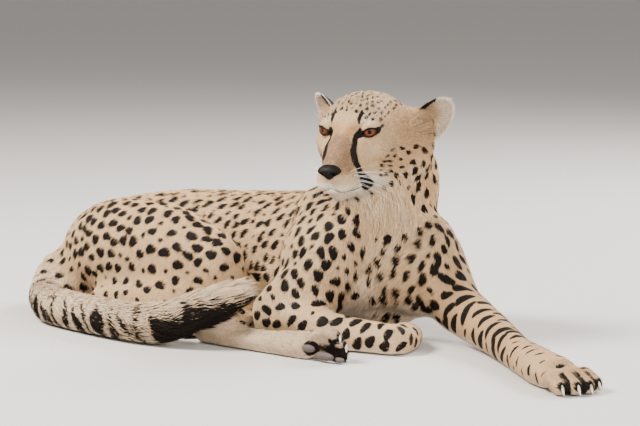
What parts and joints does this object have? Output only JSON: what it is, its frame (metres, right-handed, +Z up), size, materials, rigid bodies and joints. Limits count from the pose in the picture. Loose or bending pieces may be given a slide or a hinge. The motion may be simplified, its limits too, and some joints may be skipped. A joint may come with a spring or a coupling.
{
  "type": "cheetah figure",
  "caption": "Life-size cheetah at rest: chest and left hip on the floor, head raised and turned right, one foreleg stretched out, tail curled round the hindquarters.",
  "frame": {"origin": "on the floor, under the middle of the bounding box", "axes": "+X from the rump towards the chest, along the trunk; +Y to the animal's left; +Z up"},
  "size_m": [1.13, 0.4502, 0.378],
  "materials": {
    "coat": "short fur, tawny with black spots, long and pale at the throat and tail tip",
    "eye": "wet gloss",
    "nose": "moist, finely grained"
  },
  "bodies": {
    "root": {"belly": "coat", "chest": "coat", "ear_left": "coat", "ear_right": "coat", "forearm_left": "coat", "forearm_right": "coat", "front_paw_left": "coat", "front_paw_right": "coat", "head": "coat", "hind_foot_left": "coat", "hind_foot_right": "coat", "hips": "coat", "jaw": "coat", "neck": "coat", "shank_left": "coat", "shank_right": "coat", "tail_base": "coat", "tail_middle": "coat", "tail_tip": "coat", "thigh_left": "coat", "thigh_right": "coat", "upper_foreleg_left": "coat", "upper_foreleg_right": "coat", "eye_left": "eye", "eye_right": "eye", "nose": "nose"}
  },
  "joints": []
}
